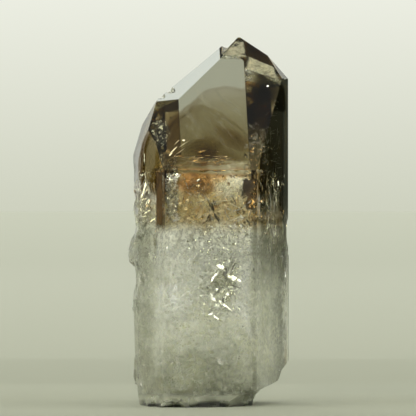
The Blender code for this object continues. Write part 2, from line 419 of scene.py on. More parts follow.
def wobble(points, size, seed, octaves=4, gain=0.55):
    # smooth random values: per octave, the sum of eight plane waves in random directions, then half
    # the wavelength and less height
    random = np.random.default_rng(seed)
    total = np.zeros(points.shape[:-1])
    height = 1.0
    for octave in range(octaves):
        ways = random.normal(size=(8, 3))
        ways /= np.linalg.norm(ways, axis=1, keepdims=True)
        phases = random.uniform(0, 2 * pi, 8)
        total += height * np.sin(points @ ways.T * (2 * pi / size) + phases).sum(-1) / 4
        size /= 2.1
        height *= gain
    return total


def bodyPoints(spaces, centre, soften, wave, rows, columns):
    # a closed surface about a point inside all faces: along each direction, the soft minimum of the
    # distances to the faces, minus soften x log of the sum of exp(-distance / soften), and a random
    # swell; wave is its height, size and seed
    out, distance = spaces
    way = directions(rows, columns)
    centre = np.array(centre, dtype=float)
    facing = way @ out.T
    room = distance - out @ centre
    reach = np.where(facing > 0.02, room / np.maximum(facing, 0.02), 1e3)
    nearest = reach.min(-1, keepdims=True)
    length = nearest[..., 0] - soften * np.log(np.exp((nearest - reach) / soften).sum(-1))
    height, size, seed = wave
    points = centre + way * length[..., None]
    length = length + height * (wobble(points, size, seed) - 0.6)
    return centre + way * length[..., None] + axisAt


def merged(piece):
    # points that lie on each other become one
    shape = bmesh.new()
    shape.from_mesh(piece.data)
    bmesh.ops.remove_doubles(shape, verts=shape.verts, dist=1e-6)
    shape.to_mesh(piece.data)
    shape.free()
    return piece


aboveCut = 0.3                    # mm that every body stays above the cut


def closedBody(name, settings, material):
    # one closed body, or with a wall the shell between it and a smaller one
    prismInset, lowest, point = settings["prismInset"], settings["lowest"], settings.get("point")
    pointInset = settings.get("pointInset", 0)
    spaces = halfSpaces(prismInset, pointInset, lowest, settings.get("highest"), point,
                        settings.get("cuts", ()))
    rows, columns = settings["grid"]
    args = (settings["centre"], settings["soften"], settings["wave"], rows, columns)
    points = bodyPoints(spaces, *args).reshape(-1, 3)
    faces = gridFaces(rows, columns, True)
    if "wall" in settings:
        wall = settings["wall"]
        inner = halfSpaces(prismInset + wall, pointInset + wall, lowest + wall, None, point)
        innerPoints = bodyPoints(inner, *args).reshape(-1, 3)
        faces = np.vstack([faces, faces[:, ::-1] + len(points)])
        points = np.vstack([points, innerPoints])
    points[:, 2] = np.maximum(points[:, 2], aboveCut)
    return quartzPiece(merged(newObject(name, points * mm, faces, material)), settings["skinGap"])


# the crystal itself: clear quartz, faintly striated across its upright faces and frosted on its lumps
skin = {
    "absorb": (0.80, 0.79, 0.72, 1.0),
    "density": 15.0,
    "striationDepth": 0.0022 * mm,
    "striationSize": 3.5 * mm,
    "striationSquash": 15.0,      # how much finer the lines are up the crystal than across it
    "frost": 0.32,
    # where a finish starts and where it is full, in metres
    "uprightFaces": (0.060, 0.054),
    "rightEdge": (0.0112, 0.0125),
    "leftLumps": (-0.0166, -0.0182),
    "footRim": (0.0055, 0.002),
}
quartz, shader, w = newMaterial("quartz", Base_Color=(1, 1, 1, 1), Roughness=0.0, IOR=1.544,
                                Transmission_Weight=1.0)
absorption(quartz, w, skin["absorb"], skin["density"])
place = w.place()
x, y, z = w.parts(place)
lines = w.noise(w.stretched(place, (1.0, 1.0, skin["striationSquash"])), skin["striationSize"], 3.0)
patches = w.noise(place, 6 * mm, 3.0)
upright = w.most(z.rise(*skin["uprightFaces"]), x.rise(*skin["rightEdge"]))
bump = w.node("ShaderNodeBump", {}, {"Strength": 1.0, "Distance": skin["striationDepth"],
                                    "Height": lines * upright * patches.rise(0.3, 0.6)})
join(bump, shader, "Normal")
lumps = w.most(x.rise(*skin["leftLumps"]), z.rise(*skin["footRim"]))
join(lumps * patches.rise(0.2, 0.6) * skin["frost"], shader, "Roughness")

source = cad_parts["amethyst_point"]
mesh = source.data.copy()
mesh.materials.clear()
mesh.materials.append(quartz)
shape = bmesh.new()
shape.from_mesh(mesh)
bmesh.ops.remove_doubles(shape, verts=shape.verts, dist=1e-6)
shape.to_mesh(mesh)
# the low growth steps are pressed flat onto the upright faces, where their outlines would show as lines
flat = np.empty(len(mesh.vertices) * 3)
mesh.vertices.foreach_get("co", flat)
place = flat.reshape(-1, 3) / mm - axisAt
out, distance = halfSpaces(0, 0, -10)
stepHeight = 0.45
for way, far in zip(out[:6], distance[:6]):
    proud = place @ way - far
    proud = np.where((proud > 0) & (proud < stepHeight), proud, 0)
    place = place - proud[:, None] * way
mesh.vertices.foreach_set("co", ((place + axisAt) * mm).ravel())
shape.clear()
shape.from_mesh(mesh)
bmesh.ops.dissolve_limit(shape, angle_limit=radians(0.3), verts=shape.verts, edges=shape.edges)
shape.to_mesh(mesh)
shape.free()
mesh.polygons.foreach_set("use_smooth", np.zeros(len(mesh.polygons), dtype=bool))
crystal = bpy.data.objects.new("crystal", mesh)
scene.collection.objects.link(crystal)
quartzPiece(crystal)
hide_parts("amethyst_point")

# milky quartz fills the lower half and, stained by iron, climbs behind the front face: a translucent
# heart and thinner clouds round it; a patch has its place across and up, its half width and half height
milk = {
    "depth": 9 * mm,              # how far light wanders inside
    "pale": (254, 255, 243),
    "dull": (236, 236, 216),
    "shade": (172, 174, 150),     # painted shade towards the left edge, the right face and the foot
    "shadeDeep": (118, 121, 98),  # deeper painted shade along the right edge
    "tan": (255, 242, 196),
    "tanDark": (228, 204, 138),
    "orange": (208, 150, 60),
    "orangeDark": (126, 88, 28),
    "cream": (255, 249, 222),
    "brown": (106, 84, 42),
    "olive": (128, 112, 66),      # on the top of the stain, from its left to its right
    "oliveLight": (206, 202, 172),
    "orangePatch": (-3.4, 53.6, 5.6, 3.8),
    "creamPatch": (5.4, 51.8, 4.2, 3.8),
    "lowPatch": (4.2, 46.0, 4.6, 3.0),
    "low": (252, 236, 190),
    "brownPatch": (11.0, 50.0, 2.4, 6.0),
    "streakPatch": (6.5, 47.5, 5.5, 5.5),
    "cloudSize": 9 * mm,
    "patchSize": 4 * mm,
    "grainSize": 1.1 * mm,
    "creviceSize": 1.6 * mm,
    "streakSize": 1.4 * mm,
    "streakTurn": -38,
    "wander": 5 * mm,             # how far the zones' edges stray
    # where a zone starts and where it is full, in metres, along x, y or z
    # painted light: the milk paler higher up
    "paintedLightUp": (0.0, 0.03),
    # painted shade: darker towards the left edge, the right face and the foot, deepest along the right edge
    "leftShade": (-0.0105, -0.0145),
    "rightShade": (0.0090, 0.0104),
    "rightShadeUp": (0.022, 0.038),
    "footShade": (0.022, 0.002),
    "rightEdge": (0.0138, 0.0156),
    "orangeUp": (0.0520, 0.0556),
    "darkLine": (0.0540, 0.0552),
    "oliveAcross": (-0.003, 0.004),
    "oliveUp": (0.0548, 0.0557),
    "goldUp": (0.0405, 0.0452),
    "goldFront": (0.0, -0.008),
    "goldLeft": (-0.0128, -0.0095),
    "stainFront": (-0.0040, -0.0095),
    "stainLeft": (-0.0100, -0.0066),
    "stainRight": (0.0102, 0.0080),
    "stainTop": (0.0588, 0.0565),
    "milkRight": (0.0085, 0.0105),
    "milkLeft": (-0.0100, -0.0125),
    "milkTop": (0.0485, 0.0440),
    "leftReach": (-0.0105, -0.0125),
    "leftReachTop": (0.0535, 0.0465),
    # painted light: the outer clouds cover more in a band at the top of the milk, to make it paler there
    "paintedLightBandUp": (0.0340, 0.0385),
    "paintedLightBandTop": (0.0450, 0.0425),
    "footCover": (0.0038, 0.0018),
}
milkLayers = {
    "milkOuter": {"prismInset": 0.6, "lowest": 0.4, "highest": 45, "centre": (0, 0, 20), "cover": 0.35,
        "skinGap": 0.2},
    "milkMiddle": {"prismInset": 1.8, "lowest": 1.0, "highest": 55.5, "centre": (0, 0, 20),
        "cover": 0.6, "skinGap": 0.5},
    "milkHeart": {"prismInset": 2.8, "lowest": 1.4, "highest": 56.2, "centre": (0, 0, 28), "cover": 1.0,
        "skinGap": 1.1},
}


def patchShare(x, z, at):
    # 1 in the middle of an oval patch and 0 outside it
    across, height, halfWidth, halfHeight = at
    far = ((x - across * mm) / (halfWidth * mm)) ** 2.0 + ((z - height * mm) / (halfHeight * mm)) ** 2.0
    return far.rise(1.4, 0.2)


for i, (name, layer) in enumerate(milkLayers.items()):
    heart = layer["cover"] == 1.0
    material, shader, w = newMaterial(name, Roughness=0.5)
    if heart:
        shader.inputs["Subsurface Weight"].default_value = 1.0
        shader.inputs["Subsurface Radius"].default_value = (1.0, 1.0, 0.95)
        shader.inputs["Subsurface Scale"].default_value = milk["depth"]
    place = w.place()
    x, y, z = w.parts(place)
    cloud = w.noise(place, milk["cloudSize"], 4.0, 0.5, 0.3)
    patch = w.noise(place, milk["patchSize"], 5.0, 0.6, 1.0)
    grain = w.noise(place, milk["grainSize"], 5.0, 0.65, 0.6)
    wander = (patch - 0.5) * milk["wander"]
    # the tone varies at random, and is painted paler higher up as painted light
    tone = (cloud * 0.55 + grain * 0.35 + z.rise(*milk["paintedLightUp"]) * 0.2).rise(0.32, 0.72)
    colour = tone.mix(colourOf(*milk["dull"]), colourOf(*milk["pale"]))
    # painted shade: the milk darker towards the left edge, the right face (more so higher up) and the foot,
    # and darkest along the right edge
    left = x.rise(*milk["leftShade"]) * 0.7
    right = x.rise(*milk["rightShade"]) * (z.rise(*milk["rightShadeUp"]) * 0.5 + 0.3)
    foot = z.rise(*milk["footShade"]) * 0.68
    edge = w.most(left, right, foot)
    colour = edge.mix(colour, colourOf(*milk["shade"]))
    colour = (x.rise(*milk["rightEdge"]) * 0.8).mix(colour, colourOf(*milk["shadeDeep"]))
    fleck = (patch * 0.65 + grain * 0.35).rise(0.42, 0.58)
    gold = fleck.mix(colourOf(*milk["tanDark"]), colourOf(*milk["tan"]))
    orange = fleck.mix(colourOf(*milk["orangeDark"]), colourOf(*milk["orange"]))
    orangeShare = w.most(patchShare(x + wander * 1.5, z - wander, milk["orangePatch"]),
                         (z + wander).rise(*milk["orangeUp"]) * 0.8)
    gold = (orangeShare * 0.92).mix(gold, orange)
    creamShare = patchShare(x - wander, z + wander, milk["creamPatch"]) * 0.85
    gold = creamShare.mix(gold, colourOf(*milk["cream"]))
    lowShare = patchShare(x - wander, z + wander, milk["lowPatch"]) * 0.8
    gold = lowShare.mix(gold, colourOf(*milk["low"]))
    brownShare = patchShare(x + wander, z, milk["brownPatch"]) * 0.9
    gold = brownShare.mix(gold, colourOf(*milk["brown"]))
    crevice = w.noise(place, milk["creviceSize"], 4.0, 0.6, 2.2)
    gold = (crevice.rise(0.41, 0.34) * 0.7).mix(gold, colourOf(*milk["brown"]))
    gold = ((z + wander * 0.2).rise(*milk["darkLine"]) * 0.6).mix(gold, colourOf(*milk["orangeDark"]))
    drawn = w.stretched(place, (1.0, 1.0, 0.16), (0, radians(milk["streakTurn"]), 0))
    streak = w.noise(drawn, milk["streakSize"], 3.0, 0.6, 0.5)
    streakShare = streak.rise(0.52, 0.66) * patchShare(x, z, milk["streakPatch"])
    gold = (streakShare * 0.55).mix(gold, colourOf(*milk["brown"]))
    across = (x + wander).rise(*milk["oliveAcross"])
    top = across.mix(colourOf(*milk["olive"]), colourOf(*milk["oliveLight"]))
    top = (fleck * 0.5).mix(top, colourOf(*milk["olive"]))
    gold = (z + wander * 0.3).rise(*milk["oliveUp"]).mix(gold, top)
    ragged = z + (cloud - 0.5) * (7 * mm) + (grain - 0.5) * (3 * mm)
    goldShare = ragged.rise(*milk["goldUp"]) * y.rise(*milk["goldFront"])
    goldShare = goldShare * (x.rise(*milk["goldLeft"]) * 0.82 + 0.18)
    colour = goldShare.mix(colour, gold)
    join(colour, shader, "Base Color")
    stainReach = y.rise(*milk["stainFront"]) * (x + wander * 1.5).rise(*milk["stainLeft"])
    stainReach = stainReach * (x + wander * 1.2).rise(*milk["stainRight"])
    stainReach = stainReach * (z + wander * 0.6).rise(*milk["stainTop"])
    ragged = ragged + (grain - 0.5) * (2 * mm) + x.rise(*milk["milkRight"]) * (5 * mm)
    milkReach = (ragged - x.rise(*milk["milkLeft"]) * (3 * mm)).rise(*milk["milkTop"])
    leftReach = x.rise(*milk["leftReach"]) * (z + wander).rise(*milk["leftReachTop"])
    if heart:
        shown = w.most(milkReach, stainReach, leftReach * grain.rise(0.42, 0.6) * 0.7)
    else:
        cover = layer["cover"]
        shown = (cloud * 0.3 + grain * 0.7).rise(0.5 - 0.12 * cover, 0.66 - 0.12 * cover) * cover ** 0.5
        # painted light: more pale cover in a band at the top of the milk
        paintedLightBand = z.rise(*milk["paintedLightBandUp"]) * ragged.rise(*milk["paintedLightBandTop"])
        shown = w.most(shown, paintedLightBand * grain.rise(0.40, 0.58) * 0.85)
        shown = shown * w.most(milkReach, stainReach, leftReach)
        shown = w.most(shown, z.rise(*milk["footCover"]) * 0.9)
    join(shown, shader, "Alpha")
    closedBody(name, {**layer, "pointInset": 3, "soften": 1.2, "wave": (0.9, 9, 3 + i),
                      "grid": (150, 220)}, material)

# smoky phantoms: earlier tips of the crystal, each a thin darker shell, and over the right shoulder a dense
# dark body of painted shade; point gives the height at which each sloping face meets the axis, cuts more
# faces by compass direction, rise and distance
phantoms = {
    "phantomOuter": {"prismInset": 2.0, "point": (70.3, 90, 94, 81.7, 77.9), "lowest": 43, "wall": 0.5,
        "centre": (0, 0, 48), "absorb": (0.60, 0.50, 0.36, 1.0), "density": 280},
    "phantomMiddle": {"prismInset": 3.0, "point": (66.3, 72.4, 72.4, 79.2, 77), "lowest": 43.5,
        "wall": 0.6, "centre": (0, 0, 48), "absorb": (0.62, 0.54, 0.30, 1.0), "density": 200},
    "smokeVeil": {"prismInset": 2.6, "point": (69.2, 89, 93, 80.6, 77.6), "lowest": 50.5,
        "centre": (0, 0, 54), "absorb": (0.61, 0.52, 0.20, 1.0), "density": 70},
    "smokeCap": {"prismInset": 3.5, "point": (61, 63, 64, 71, 67), "lowest": 50, "centre": (0, 0, 54),
        "absorb": (0.66, 0.56, 0.28, 1.0), "density": 95},
    "smokeCore": {"prismInset": 5.0, "point": (58, 58, 59, 66, 62), "lowest": 51, "centre": (0, 0, 54),
        "absorb": (0.62, 0.51, 0.16, 1.0), "density": 220},
    # painted shade: a dense dark body that darkens the tip's right shoulder
    "shoulderPaintedShade": {"prismInset": 0.8, "point": (78.5, 97.2, 102, 102.4, 84.7), "lowest": 70,
        "cuts": [(116.6, 60.8, 75.0), (262, 0, -9.4)], "centre": (12.5, 4, 73),
        "absorb": (0.46, 0.42, 0.24, 1.0), "density": 420, "soften": 0.8},
}
firstGap, gapStep = 0.12, 0.05    # mm to the skin, so that no two shells lie on each other


def smokeMaterial(name, settings):
    # clear to look at, bending no light, and only absorbing it
    material, shader, w = newMaterial(name, Base_Color=(1, 1, 1, 1), Roughness=0.0, IOR=1.0,
                                      Transmission_Weight=1.0)
    absorption(material, w, settings["absorb"], settings["density"])
    return material


for i, (name, layer) in enumerate(phantoms.items()):
    closedBody(name, {"soften": 1.6, **layer, "wave": (0.45, 11, 20 + i), "grid": (90, 160),
                      "skinGap": firstGap + gapStep * i}, smokeMaterial(name, layer))

# denser smoke low in the tip: ovals by centre and half sizes
smokeBlobs = {
    "smokeRight": {"centre": (5.4, -4.0, 61.4), "half": (5.2, 4.0, 2.6), "lean": -0.45,
        "absorb": (0.58, 0.44, 0.12, 1.0), "density": 150},
    "smokeLeft": {"centre": (-1.6, -6.0, 59.4), "half": (4.6, 4.0, 2.4), "lean": 0.1,
        "absorb": (0.60, 0.50, 0.12, 1.0), "density": 140},
}
ballGrid = (25, 48)
ball = directions(*ballGrid)
blobGap = 0.3
for i, (name, blob) in enumerate(smokeBlobs.items()):
    # a ball stretched to its half sizes, its radius swelling at random and its height leaning with x
    points = ball * np.array(blob["half"]) * (1 + 0.16 * wobble(ball, 1.6, 70 + i, 3))[..., None]
    points[..., 2] += blob["lean"] * points[..., 0]
    points = (points + np.array(blob["centre"])).reshape(-1, 3) * mm
    piece = newObject(name, points, gridFaces(*ballGrid, True), smokeMaterial(name, blob))
    quartzPiece(merged(piece), blobGap)
print("crystal done")


crackGap = 0.1                    # mm that cracks and sheets keep from the skin


def movedIn(centres, gap=0.25, farthest=1.5):
    # middles moved straight in through each of the crystal's planes that they lie outside, and which
    # of them were near enough to it to be kept
    out, distance = halfSpaces(0, 0, aboveCut)
    kept = ((centres - axisAt) @ out.T - distance).max(1) < farthest
    for way, far in zip(out, distance):
        over = np.maximum((centres - axisAt) @ way - far + gap, 0)
        centres = centres - over[:, None] * way
    return centres, kept


def flakes(name, centres, facing, sizes, material, seed, along=None, bend=0.12, rings=5, spokes=14,
           jag=0.0):
    # many small thin cracks in one mesh, each a jagged disc: its rim is 1 + random waves round it, and
    # it bends by bend x radius squared; the UV holds the share of the way out and its own number
    random = np.random.default_rng(seed)
    centres, kept = movedIn(centres)
    centres, facing, sizes = centres[kept], facing[kept], sizes[kept]
    count = len(centres)
    facing = facing / np.linalg.norm(facing, axis=1, keepdims=True)
    other = random.normal(size=(count, 3))
    if along is not None:
        other = np.array(along) + 0.12 * other
    other -= (other * facing).sum(1, keepdims=True) * facing
    other /= np.linalg.norm(other, axis=1, keepdims=True)
    third = np.cross(facing, other)
    turn = np.linspace(0, 2 * pi, spokes, endpoint=False)
    rim = 1 + jag * random.uniform(-1, 0.4, (count, spokes))
    for k in (2, 3, 5):
        height = random.uniform(0.1, 0.28, (count, 1)) * (jag == 0)
        rim = rim + height * np.sin(k * turn + random.uniform(0, 2 * pi, (count, 1)))
    share = np.linspace(0.08, 1, rings)
    length = rim[:, None, :] * share[None, :, None]
    ahead = length * np.cos(turn) * sizes[:, 0, None, None]
    beside = length * np.sin(turn) * sizes[:, 1, None, None]
    radius = sizes.max(1)[:, None, None]
    ripple = 0.25 * np.sin(5 * length + random.uniform(0, 6, (count, 1, 1)))
    lift = bend * radius * (length ** 2 + ripple)
    points = (centres[:, None, None] + ahead[..., None] * other[:, None, None]
              + beside[..., None] * third[:, None, None] + lift[..., None] * facing[:, None, None])
    one = gridFaces(rings, spokes, True)
    cap = np.arange(spokes)[None, ::-1]
    first = np.arange(count) * rings * spokes
    faces = (one[None] + first[:, None, None]).reshape(-1, 4)
    caps = cap + first[:, None]
    mesh = bpy.data.meshes.new(name)
    mesh.from_pydata((points.reshape(-1, 3) * mm).tolist(), [], faces.tolist() + caps.tolist())
    out = np.tile(np.repeat(share, spokes), count)
    own = np.repeat(random.uniform(0, 1, count), rings * spokes)
    writeUv(mesh, out, own)
    mesh.materials.append(material)
    mesh.polygons.foreach_set("use_smooth", np.full(len(mesh.polygons), jag == 0))
    piece = bpy.data.objects.new(name, mesh)
    scene.collection.objects.link(piece)
    return quartzPiece(piece, crackGap)


def crackMaterial(name, colour, metallic, roughness, cover):
    # a mirror-bright healed crack that thins out to its rim
    material, shader, w = newMaterial(name, Base_Color=colour, Metallic=metallic, Roughness=roughness)
    uv = w.node("ShaderNodeTexCoord", {}, {}, "UV")
    out, own, _ = w.parts(uv)
    place = w.place()
    grain = w.noise(place, 0.7 * mm, 4.0, 0.65, 0.6)
    broken = (grain + own * 0.12).rise(0.62 - 0.3 * cover, 0.72 - 0.3 * cover)
    join(out.rise(1.0, 0.55) * broken, shader, "Alpha")
    return material


def scatter(settings):
    # random places just inside the prism: facing roughly out of the nearest face, and their half sizes
    random = np.random.default_rng(settings["seed"])
    count = settings["count"]
    turn = np.radians(random.uniform(*settings["azimuths"], count))
    height = random.uniform(*settings["heights"], count)
    inset = random.uniform(*settings["insets"], count)
    out, distance = halfSpaces(0, 0, 0)
    out, distance = out[:6], distance[:6]
    way = np.stack([np.sin(turn), -np.cos(turn), 0 * turn], -1)
    facing = way @ out.T
    reach = np.where(facing > 0.02, distance / np.maximum(facing, 0.02), 1e3)
    face = reach.argmin(1)
    length = reach.min(1) - inset / np.take_along_axis(facing, face[:, None], 1)[:, 0]
    centres = way * length[:, None] + axisAt
    centres[:, 2] = height
    normal = out[face] + settings["spread"] * random.normal(size=(count, 3))
    size = random.uniform(*settings["sizes"], count)
    half = np.stack([size, size * random.uniform(*settings["thin"], count)], -1)
    return centres, normal, half


def cluster(name, settings, material, seed):
    # flakes in a box round a centre, all facing about one way, with their long side along another
    random = np.random.default_rng(seed)
    count = settings["count"]
    strewn = random.uniform(-1, 1, (count, 3)) * np.array(settings["reach"])
    centres = np.array(settings["centre"]) + strewn
    facing = np.array(settings["facing"])[random.integers(0, len(settings["facing"]), count)]
    facing = facing + settings["spread"] * random.normal(size=(count, 3))
    size = random.uniform(*settings["size"], count)
    half = np.stack([size, size * random.uniform(*settings["thin"], count)], -1)
    return flakes(name, centres, facing, half, material, seed + 1, settings.get("along"),
                  settings.get("bend", 0.1))


def wispMaterial(name, colour, cover):
    # a soft pale veil, thickest in its middle and broken by noise
    material, shader, w = newMaterial(name, Base_Color=colour, Roughness=0.5)
    uv = w.node("ShaderNodeTexCoord", {}, {}, "UV")
    out, own, _ = w.parts(uv)
    haze = w.noise(w.place(), 1.6 * mm, 4.0, 0.6, 0.8)
    join(out.rise(1.0, 0.1) * haze.rise(0.3, 0.7) * (own * 0.6 + 0.4) * cover, shader, "Alpha")
    return material


silverCrack = crackMaterial("silverCrack", colourOf(240, 240, 224), 1.0, 0.12, 0.8)
goldCrack = crackMaterial("goldCrack", colourOf(226, 204, 158), 1.0, 0.2, 0.7)
paleCrack = crackMaterial("paleCrack", colourOf(250, 249, 240), 0.0, 0.3, 0.5)
darkCrack = crackMaterial("darkCrack", colourOf(52, 44, 28), 0.0, 0.4, 0.9)
hatch = crackMaterial("hatch", colourOf(120, 122, 96), 0.0, 0.4, 0.6)
veil = wispMaterial("veil", colourOf(206, 204, 172), 0.34)

# facings that throw the left soft box, the right one or the dark floor to the front
toLeftBox = (-0.136, -0.972, 0.193)
toRightBox = (0.291, -0.937, 0.196)
tipLeft = (-0.170, -0.850, 0.499)          # the same through the sloping front face
tipRight = (0.345, -0.810, 0.474)
sideLeft = (-0.588, -0.784, 0.201)         # and through the left upright face
clusterKeys = ("count", "centre", "reach", "size", "thin", "facing",
               "spread", "material", "along", "bend")
clusters = {
    "starSpark": (130, (2.6, -16.6, 29.3), (4.6, 0.8, 6.2), (0.2, 0.75), (0.2, 0.6),
        [toLeftBox, toRightBox], 0.16, silverCrack),
    "leftSilver": (110, (-14.0, -8.0, 49.0), (2.0, 4.5, 7.0), (0.2, 0.9), (0.10, 0.35),
        [(-0.2, -0.95, 0.1), sideLeft], 0.35, silverCrack, (0.25, 0, 1)),
    "leftPale": (460, (-14.3, -8.0, 46.5), (1.9, 4.0, 6.5), (0.25, 0.9), (0.12, 0.4),
        [(-0.3, -0.9, 0.1)], 0.4, paleCrack, (0.25, 0, 1)),
    "cornerSilver": (110, (-8.9, -18.2, 50.5), (1.3, 1.0, 5.0), (0.2, 0.8), (0.3, 0.9),
        [toLeftBox, (0.1, -0.9, -0.3)], 0.4, silverCrack),
    "rightStreaks": (200, (14.8, -3.0, 44.5), (2.4, 5.0, 10.0), (0.6, 2.6), (0.02, 0.07),
        [(0.7, -0.7, 0.0)], 0.35, silverCrack, (0, 0, 1)),
    "rightPale": (70, (14.2, -3.0, 42.0), (1.6, 5.0, 7.0), (0.8, 2.4), (0.05, 0.12), [(0.7, -0.7, 0.0)],
        0.35, paleCrack, (0, 0, 1)),
    "goldLines": (34, (-2.0, -10.0, 57.2), (6.0, 4.0, 1.8), (0.6, 2.4), (0.05, 0.16),
        [(0.1, -0.6, 0.8), (0.1, -0.9, 0.3)], 0.3, goldCrack, (1, 0, 0.05)),
    "panelWisps": (24, (1.0, -4.0, 67.5), (6.5, 5.0, 5.0), (2.5, 6.5), (0.10, 0.28), [(0.1, -0.9, 0.3)],
        0.15, veil, (0.5, 0, -0.8)),
    "goldSparks": (34, (11.2, -7.0, 59.0), (2.0, 3.0, 5.0), (0.12, 0.45), (0.3, 0.7),
        [tipLeft, tipRight], 0.25, goldCrack),
    "dullHaze": (90, (10.6, -8.0, 62.0), (2.2, 3.0, 4.5), (0.4, 1.4), (0.2, 0.6), [(0.15, -0.8, 0.6)],
        0.4, veil),
    "milkSparks": (340, (1.0, -17.6, 39.4), (9.0, 0.7, 3.8), (0.08, 0.36), (0.3, 0.8),
        [toLeftBox, toRightBox], 0.16, silverCrack),
    "goldGrit": (100, (1.0, -16.4, 49.0), (8.0, 0.8, 6.2), (0.12, 0.55), (0.2, 0.7),
        [toLeftBox, toRightBox, (0.1, -0.9, -0.3)], 0.35, goldCrack),
    "cornerPale": (90, (-8.9, -17.6, 49.5), (1.3, 1.0, 5.5), (0.3, 1.2), (0.2, 0.6), [(0.1, -1.0, 0.0)],
        0.4, paleCrack),
    "edgeGrit": (30, (10.2, -15.2, 49.5), (0.9, 0.8, 6.5), (0.12, 0.5), (0.2, 0.6),
        [toLeftBox, toRightBox, (0.1, -0.9, -0.3)], 0.35, goldCrack),
    "swirls": (16, (2.0, -16.2, 47.0), (6.5, 0.6, 3.6), (1.2, 3.0), (0.05, 0.12), [(0.1, -0.9, 0.4)],
        0.3, paleCrack, None, 0.45),
    "milkSilver": (170, (0.5, -16.8, 38.5), (9.5, 1.0, 4.5), (0.2, 0.9), (0.15, 0.6),
        [toLeftBox, toRightBox, (0.0, -1.0, 0.0)], 0.4, paleCrack),
    "darkCracks": (22, (1.0, -17.6, 46.2), (1.6, 0.3, 2.6), (0.4, 1.4), (0.06, 0.16),
        [(0.1, -1.0, 0.0)], 0.3, darkCrack, (-0.5, 0, 1)),
}
for i, (name, row) in enumerate(clusters.items()):
    group = dict(zip(clusterKeys, row))
    cluster(name, group, group["material"], 100 + 10 * i)

# stained or frosted sheets close under the skin, fading to their rims, each between four corners in mm,
# the first two along its lower edge; two are painted: a pale sheet of painted light on the right shoulder
# and a grey sheet of painted shadow beside the left lump
sheets = {
    "tipFrost": {"corners": [(2.6, 5.6, 83.2), (9.4, 4.9, 83.2),
        (8.4, 8.8, 87.4), (5.0, 9.2, 87.2)], "colour": (196, 190, 160), "cover": 0.8},
    # painted light: a pale sheet that brightens the lit facet on the right shoulder
    "shoulderPaintedLight": {"corners": [(8.4, 3.1, 80.3), (17.2, 2.6, 77.4),
        (15.8, 5.1, 81.0), (9.3, 6.0, 83.8)], "colour": (216, 210, 176), "cover": 1.1},
    "edgeStain": {"corners": [(-12.4, -16.2, 41.6), (-10.4, -20.4, 41.6),
        (-10.4, -20.4, 57.0), (-12.4, -16.2, 57.0)], "colour": (118, 86, 38), "cover": 1.2},
    "cornerHaze": {"corners": [(-10.4, -20.3, 41.0), (-6.8, -19.5, 41.0),
        (-6.8, -19.5, 56.0), (-10.4, -20.3, 56.0)], "colour": (196, 188, 150), "cover": 0.5, "ragged": 0.3},
    "edgeDark": {"corners": [(7.6, -16.6, 41.5), (11.4, -15.0, 43.0),
        (11.4, -15.0, 56.4), (7.2, -16.7, 56.4)], "colour": (84, 63, 28), "cover": 1.1, "ragged": 0.34},
    # painted shadow: a grey sheet beside the left lump
    "lumpPaintedShadow": {"corners": [(-12.6, -15.2, 36.6), (-11.7, -16.6, 37.4),
        (-11.6, -16.8, 41.4), (-13.3, -14.4, 41.0)], "colour": (168, 164, 136), "cover": 0.45},
}
for i, (name, sheet) in enumerate(sheets.items()):
    # the surface is the four corners mixed by the two shares, plus a faint swell
    side = 40
    across, up = np.meshgrid(np.linspace(0, 1, side), np.linspace(0, 1, side))
    shares = np.stack([(1 - across) * (1 - up), across * (1 - up), across * up, (1 - across) * up], -1)
    points = shares @ np.array(sheet["corners"])
    points[..., 1] += 0.12 * wobble(points, 2.5, 80 + i, 3)
    material, shader, w = newMaterial(name, Roughness=0.5)
    place = w.place()
    grain = w.noise(place, 0.9 * mm, 5.0, 0.65, 0.8)
    patch = w.noise(place, 3 * mm, 4.0, 0.6, 0.8)
    deep = colourOf(*[0.62 * value for value in sheet["colour"]])
    tone = (patch * 0.5 + grain * 0.5).rise(0.38, 0.6)
    join(tone.mix(deep, colourOf(*sheet["colour"])), shader, "Base Color")
    u, v, _ = w.parts(w.node("ShaderNodeTexCoord", {}, {}, "UV"))
    rim = w.least(u, 1.0 - u, v, 1.0 - v)
    shown = (patch * 0.6 + grain * 0.4).rise(0.66 - 0.4 * sheet["cover"], 0.8 - 0.4 * sheet["cover"])
    rim = rim + (grain - 0.5) * 0.1 - patch.rise(0.35, 0.65) * sheet.get("ragged", 0.0)
    join(shown * rim.rise(0.0, 0.14), shader, "Alpha")
    piece = newObject(name, points.reshape(-1, 3) * mm, gridFaces(side, side, False), material)
    writeUv(piece.data, across, up)
    quartzPiece(piece, crackGap)

# shattered patches: crumpled sheets of flat mirror facets on a slanted grid, each by its middle, its
# two half sides with their slants, the facets' depth, their colour and how far they cover
fractureKeys = ("centre", "half", "slants", "grid", "crumple", "colour", "alpha", "lean")
fractures = {
    "starFracture": ((3.0, -16.9, 29.3), (5.2, 4.6), (50, -48), (11, 12), 0.34, (226, 226, 206), 0.75),
    "leftFracture": ((-14.2, -11.2, 48.4), (2.6, 6.4), (4, 84), (22, 9), 0.26, (226, 222, 196), 0.75),
    "cornerFracture": ((-8.9, -19.4, 48.6), (1.7, 7.0), (2, 89), (26, 6), 0.22, (214, 208, 178), 0.7),
    "goldFracture": ((-3.6, -18.0, 47.2), (4.6, 4.4), (35, -60), (17, 17), 0.26, (252, 234, 180), 0.30),
    "creamFracture": ((5.2, -16.6, 50.2), (4.4, 3.8), (30, -55), (16, 16), 0.24, (252, 244, 214), 0.2),
    "kiteFracture": ((-11.6, -12.6, 64.6), (2.3, 4.4), (10, 96), (20, 12), 0.22, (210, 208, 178), 0.24,
        0.7),
    "edgeFracture": ((10.3, -15.9, 48.8), (1.0, 7.0), (5, 86), (26, 6), 0.22, (196, 156, 86), 0.5),
}
